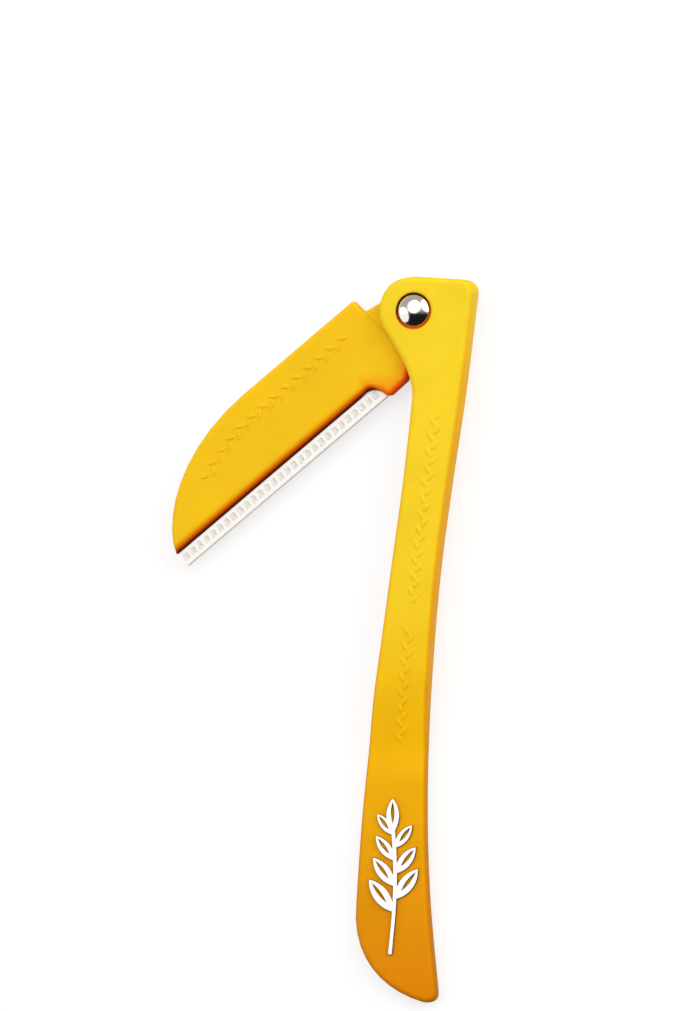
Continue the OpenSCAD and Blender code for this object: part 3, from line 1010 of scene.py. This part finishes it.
def plasticDetail(tree, shader, spot, colour):
    # what both mouldings share: faint clouds of colour, a fine grain and hairline scratches
    look = plasticLook
    where = scaled(tree, spot)
    clouds = ramp(tree, noise(tree, where, look["cloudScale"], 3), look["cloudTints"])
    colour = mixed(tree, "MULTIPLY", look["cloudShare"], colour, clouds)
    specks = ramp(tree, noise(tree, where, look["speckScale"]), look["speckTints"])
    colour = mixed(tree, "MULTIPLY", look["speckShare"], colour, specks)
    scratches = streaks(tree, spot, look["scratchScale"], look["scratchTurn"])
    patches = noise(tree, where, look["patchScale"])
    rough = calc(tree, "MULTIPLY_ADD", scratches, look["scratchShare"], patches)
    grain = noise(tree, where, look["grainScale"], detail=3, roughness=0.6)
    feed(tree, shader, Base_Color=colour, Normal=bumped(tree, grain, look["grain"]),
         Roughness=ranged(tree, rough, *look["roughSpan"], *look["roughness"]))


def ringShade(tree, spot, height, colour):
    # painted shade in the ring round the dome, on the front only: dark brown on the upper left, orange on
    # the lower right
    look = plasticLook
    flat = vectorCalc(tree, "MULTIPLY", spot, (1, 1, 0))
    away = calc(tree, "MINIMUM", vectorCalc(tree, "LENGTH", flat),
                vectorCalc(tree, "DISTANCE", flat, (*look["ringShift"], 0)))
    near = ranged(tree, away, *(wallRadius + far for far in look["ringFade"]))
    inFront = ranged(tree, height, *(handleHigh.z - deep for deep in look["ringFrom"]))
    around = vectorCalc(tree, "DOT_PRODUCT", spot, (*look["ringWay"], 0))
    reach = look["ringBlend"] * wallRadius
    below = ranged(tree, around, -reach, reach)
    tint = mixed(tree, "MIX", below, *(linear(*c) for c in look["recessShadeColours"]))
    return mixed(tree, "MIX", calc(tree, "MULTIPLY", near, inFront), colour, tint)


def handlePlastic():
    look = plasticLook
    material, tree, shader, spot = plasticMaterial("handlePlastic")
    _, down, height = add(tree, "SeparateXYZ", Vector=spot).outputs
    # painted shade: the front darkens towards the tail, with painted light where the face falls
    share = ranged(tree, down, 0, profileY[0])
    front, side = (screenRamp(tree, share, look[name]) for name in ("handleColours", "sideShadeColours"))
    # painted shade: the rounding and sides near the outline take the deeper side colours
    colour = mixed(tree, "MIX", painted(tree, "wallShade"), front, side)
    plasticDetail(tree, shader, spot, ringShade(tree, spot, height, colour))
    return material


def holderPlastic():
    look = plasticLook
    material, tree, shader, spot = plasticMaterial("holderPlastic")
    # painted shade: darker towards the edge that holds the blade
    shade = screenRamp(tree, painted(tree, "bladeShade"), look["edgeShadeSteps"])
    colour = mixed(tree, "MULTIPLY", 1.0, linear(*look["headColour"]), shade)
    # painted shade on the lobe's rim
    colour = mixed(tree, "MIX", painted(tree, "lobeShade"), colour, linear(*look["lobeRimShadeColour"]))
    # painted shade along the step across the neck
    along = vectorCalc(tree, "DOT_PRODUCT", spot, (*look["stepWay"], 0))
    off = calc(tree, "ABSOLUTE", calc(tree, "SUBTRACT", along, look["stepPlace"]))
    step = ranged(tree, off, 0, look["stepWidth"], look["stepShare"], 0)
    colour = mixed(tree, "MIX", step, colour, linear(*look["stepShadeColour"]))
    plasticDetail(tree, shader, spot, colour)
    return material


def paintHandle(piece):
    # how near each corner is to the outline, where the sides get painted shade, but not in the channel
    look = handleLook
    mesh = piece.data
    far, _, _ = nearest(meshPoints(mesh)[:, :2], densify(handleRing, look["spacing"]))
    values = 1 - smoothStep(0, look["wallTint"], far)
    margin = look["wallMargin"]
    layer = mesh.attributes.new("wallShade", "FLOAT", "CORNER")
    for face in mesh.polygons:
        top = frontHeight(np.array([face.center[:2]]))[0]
        isInner = abs(face.normal.z) > levelShare and margin < face.center.z < top - margin
        for loop in face.loop_indices:
            layer.data[loop].value = 0 if isInner else values[mesh.loops[loop].vertex_index]


def paintHolder(piece):
    # how near each point of the head is to the blade's edge, and to the lobe's rim, which both get painted
    # shade
    look = holderLook
    points = meshPoints(piece.data)
    x, y = toBlade(points).T
    far, _, _ = nearest(points[:, :2], densify(holderRing, look["spacing"]))
    alongBlade = smoothStep(edgeFrom - look["hollow"], look["bladeTintAlong"], x)
    onBlade = alongBlade * smoothStep(edgeY, look["bladeTintAside"], y)
    early = look["hollowTintShift"] * (1 - smoothStep(edgeFrom, look["hollowTintEnd"], x))
    inward = np.where(x > edgeFrom, edgeY - y, far) - early
    onLobe = smoothStep(edgeY, look["lobeTintAside"], y) * (1 - alongBlade)
    onLobe *= smoothStep(0, look["lobeTintAlong"], x)
    sides = {
        "bladeShade": (1 - np.clip(inward / look["bladeTintWidth"], 0, 1)) * onBlade,
        "lobeShade": (1 - smoothStep(0, look["lobeTintFade"], far)) * onLobe,
    }
    for label, values in sides.items():
        layer = piece.data.attributes.new(label, "FLOAT", "POINT")
        layer.data.foreach_set("value", values.astype(np.float32))


metalLook = {
    # screen colour and roughness, to which the marks and lines add
    "nickel": ((222, 218, 210), 0.1),
    "chrome": ((222, 221, 220), 0.16),
    "foil": ((254, 251, 245), 0.55),
    "steel": ((253, 250, 242), 0.6),
    # painted shade and reflection: brown on the sprig's sloping rim and walls
    "chromeRimShade": (140, 92, 56),
    "foilMetal": 0.5,
    "steelMetal": 0.25,
    "gapShadowColour": (66, 22, 12),  # painted shadow: the dark gap where the foil goes into the moulding
    "gapWidth": 0.22 * mm,
    "gapStart": (-0.4 * mm, 1 * mm),  # along from the start of the straight edge
    # scales are in features per millimetre
    "wipeScale": (9, 0.8, 2),
    "wipeTurn": 0.6,
    "wipeSpan": (0.4, 0.75),
    "wipeRoughness": 0.07,
    "waveScale": 1.1,
    "waveHeight": 0.002 * mm,
    "turnedRoughness": 0.15,
    "turnedScale": 46.0,  # radians per millimetre
    "turnedHeight": 0.003 * mm,
    "lineScale": (0.25, 16, 16),
    "lineTints": [(0.3, (0.9, 0.9, 0.9, 1)), (0.7, (1, 1, 1, 1))],
    "lineSpan": (0.3, 0.7),
    "lineRoughness": (-0.05, 0.1),
    "lineHeight": 0.002 * mm,
}


def polishedMetal(name, finish, edgeColour=None):
    # bright metal with faint wipe marks
    look = metalLook
    colour, smooth = look[finish]
    material, tree, shader, spot = newMaterial(name, Metallic=1, Base_Color=linear(*colour))
    # painted shade and reflection on the sloping rim and walls that makeOrnament marks
    if edgeColour:
        feed(tree, shader, Base_Color=mixed(tree, "MIX", painted(tree, "sprigRimShade"), linear(*colour),
                                            linear(*edgeColour)))
    marks = streaks(tree, spot, look["wipeScale"], look["wipeTurn"])
    waves = noise(tree, scaled(tree, spot), look["waveScale"])
    feed(tree, shader, Normal=bumped(tree, waves, look["waveHeight"]),
         Roughness=ranged(tree, marks, *look["wipeSpan"], smooth, smooth + look["wipeRoughness"]))
    return material


def turnedMetal(name, finish):
    # metal with the fine rings that a turned face has
    look = metalLook
    colour, smooth = look[finish]
    material, tree, shader, spot = newMaterial(
        name, Metallic=1, Base_Color=linear(*colour), Roughness=smooth + look["turnedRoughness"])
    away = vectorCalc(tree, "LENGTH", vectorCalc(tree, "MULTIPLY", scaled(tree, spot), (1, 1, 0)))
    rings = calc(tree, "SINE", calc(tree, "MULTIPLY", away, look["turnedScale"]))
    feed(tree, shader, Normal=bumped(tree, rings, look["turnedHeight"]))
    return material


def gapShade(tree, spot, colour):
    # painted shadow: darkens the foil close to the moulding's straight edge
    look = metalLook
    c, s = cos(bladeTurn), sin(bladeTurn)
    out = vectorCalc(tree, "DOT_PRODUCT", spot, (-s, c, 0))
    along = vectorCalc(tree, "DOT_PRODUCT", spot, (c, s, 0))
    near = ranged(tree, out, edgeY + look["gapWidth"], edgeY + 0.5 * look["gapWidth"])
    run = ranged(tree, along, *(edgeFrom + x for x in look["gapStart"]))
    return mixed(tree, "MIX", calc(tree, "MULTIPLY", near, run), colour, linear(*look["gapShadowColour"]))


def brushedMetal(name, finish, metallic, shade=None):
    # steel strip with fine lines along the blade
    look = metalLook
    colour, smooth = look[finish]
    material, tree, shader, spot = newMaterial(name, Metallic=metallic)
    lines = streaks(tree, spot, look["lineScale"], -bladeTurn, detail=4)
    colour = mixed(tree, "MULTIPLY", 1.0, linear(*colour), ramp(tree, lines, look["lineTints"]))
    rough = ranged(tree, lines, *look["lineSpan"], *(smooth + more for more in look["lineRoughness"]))
    feed(tree, shader, Base_Color=shade(tree, spot, colour) if shade else colour, Roughness=rough,
         Normal=bumped(tree, lines, look["lineHeight"]))
    return material


finishes = {
    "handle": handlePlastic(),
    "holder": holderPlastic(),
    "dome": polishedMetal("polishedNickel", "nickel"),
    "cap": turnedMetal("turnedNickel", "nickel"),
    "chrome": polishedMetal("brightChrome", "chrome", metalLook["chromeRimShade"]),
    "foil": brushedMetal("punchedFoil", "foil", metalLook["foilMetal"], gapShade),
    "steel": brushedMetal("groundSteel", "steel", metalLook["steelMetal"]),
}
print("finishes made:", len(finishes))

guardFoil = makeGuard(finishes["foil"])
print("guard foil:", len(guardFoil.data.polygons), "faces")
leaves = leafTree()
handleLines = [handleRow(*row) for row in leafLook["handleRows"]]
handleLeaves = leafRows("handleLeaves", handleLines, leaves, finishes["handle"])
headLeaves = leafRows("headLeaves", [headRow(*leafLook["headRow"])], leaves, finishes["holder"])
print("leaf rows:", len(handleLeaves.data.polygons) + len(headLeaves.data.polygons), "faces")
sprig = makeOrnament()
print("sprig:", len(sprig.data.polygons), "faces")
paintHandle(handleShell)
paintHolder(holderShell)


def wear(piece, finish):
    piece.data.materials.clear()
    piece.data.materials.append(finishes[finish])


wear(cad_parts["blade"], "steel")
rides = [
    # piece, body, the node it stands for, finish, material slot; leaf rows have their finish already
    (handleShell, "handle_body", "handle", "handle", "handle_plastic"),
    (handleLeaves, "handle_body", None, None, "handle_plastic"),
    (rivetDome, "handle_body", "rivet", "dome", "rivet_nickel"),
    (rivetCapDisc, "handle_body", "rivet_cap", "cap", "cap_nickel"),
    (sprig, "handle_body", "ornament", "chrome", "ornament_chrome"),
    (holderShell, "head_body", "blade_holder", "holder", "holder_plastic"),
    (headLeaves, "head_body", None, None, "holder_plastic"),
    (guardFoil, "head_body", "guard", "foil", "guard_foil"),
]
for piece, body, node, finish, slot in rides:
    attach(piece, body)
    if node:
        wear(piece, finish)
        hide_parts(node)
print("pieces ride on their bodies:", len(rides))

# Floor, world and lamps

studioLook = {
    "floorSize": 4.0,
    "floorGap": 0.02 * mm,
    "floorTone": 0.33,
    "floorGlow": 0.705,
    "roomTone": (0.56, 0.515, 0.50),  # walls and ceiling, seen in the bright metal
    "darkTone": (0.012, 0.012, 0.014),  # the dark side of the room, behind the tail
    "darkSpan": (-0.3, 0.1),  # where the one passes into the other
    "lampDistance": 1.2,
    "lamps": {
        # direction from the object, half the angle that the round softbox fills, and its glow
        "overhead": ((-0.06, 0.36, 0.93), 34.5, 1.23),
        "right": ((0.85, 0.43, 0.32), 31, 2.55),
        "left": ((-0.88, -0.26, 0.40), 31, 1.25),
    },
}


def makeFloor():
    look = studioLook
    half = look["floorSize"] / 2
    z = cadBounds[0].z - look["floorGap"]
    corners = [(x * half, y * half, z) for x, y in ((-1, -1), (1, -1), (1, 1), (-1, 1))]
    floor = meshObject("floor", corners, [(0, 1, 2, 3)])
    material = bpy.data.materials.new("paleFloor")
    material.use_nodes = True
    tree = material.node_tree
    tree.nodes.remove(tree.nodes["Principled BSDF"])
    plain = add(tree, "BsdfDiffuse", Color=(look["floorTone"],) * 3 + (1,))
    rays = add(tree, "LightPath").outputs
    seen = calc(tree, "MAXIMUM", rays["Is Camera Ray"], rays["Is Glossy Ray"])
    seen = calc(tree, "MAXIMUM", seen, rays["Is Transmission Ray"])
    glow = add(tree, "Emission", Strength=calc(tree, "MULTIPLY", seen, look["floorGlow"]))
    both = add(tree, "AddShader", i0=plain, i1=glow)
    feed(tree, tree.nodes["Material Output"], i0=both)
    floor.data.materials.append(material)


def makeWorld():
    # a plain room that is dark on the side behind the tail
    look = studioLook
    world = bpy.data.worlds.new("studio")
    world.use_nodes = True
    tree = world.node_tree
    way = add(tree, "TexCoord").outputs["Generated"]
    along = add(tree, "SeparateXYZ", Vector=way).outputs[1]
    share = ranged(tree, along, *look["darkSpan"])
    room = ramp(tree, share, [(0.0, (*look["darkTone"], 1)), (1.0, (*look["roomTone"], 1))])
    feed(tree, tree.nodes["Background"], i0=room)
    bpy.context.scene.world = world


def makeLamps():
    look = studioLook
    for name, (way, spread, glow) in look["lamps"].items():
        data = bpy.data.lights.new(name, "AREA")
        data.shape = "DISK"
        radius = look["lampDistance"] * tan(radians(spread))
        data.size = 2 * radius
        data.energy = glow * pi ** 2 * radius ** 2
        lamp = addObject(name, data)
        lamp.location = Vector(way).normalized() * look["lampDistance"]
        lamp.rotation_euler = (-lamp.location).to_track_quat("-Z", "Y").to_euler()
        lamp.visible_camera = False


bpy.context.scene.view_settings.view_transform = "Standard"
makeFloor()
makeWorld()
makeLamps()
print("studio lit")

# Camera, at the photograph's angle

cameraLook = {
    "roll": 14.5,  # degrees to the right of straight above
    "lens": 250,  # long, because the photograph is nearly flat
    "sensor": 36,
    "tall": 166.8 * mm,  # what the picture spans from top to bottom
    "aim": (-12.54 * mm, -32.16 * mm),  # from the pivot to the picture's middle, across and up
}


def makeCamera():
    look = cameraLook
    roll = radians(look["roll"])
    right = Vector((cos(roll), 0, -sin(roll)))
    back = Vector((sin(roll), 0, cos(roll)))
    pivot = Vector((0, 0, frontHeight(np.zeros((1, 2)))[0]))
    target = pivot + right * look["aim"][0] + Vector((0, look["aim"][1], 0))
    data = bpy.data.cameras.new("camera")
    data.lens, data.sensor_width = look["lens"], look["sensor"]
    reach = look["tall"] / 2 * look["lens"] / (look["sensor"] / 2)
    camera = addObject("camera", data)
    camera.location = target + back * reach
    camera.rotation_euler = Matrix([right, Vector((0, 1, 0)), back]).transposed().to_euler()
    data.clip_start, data.clip_end = reach / 100, reach * 10
    bpy.context.scene.camera = camera


makeCamera()
print("camera set")
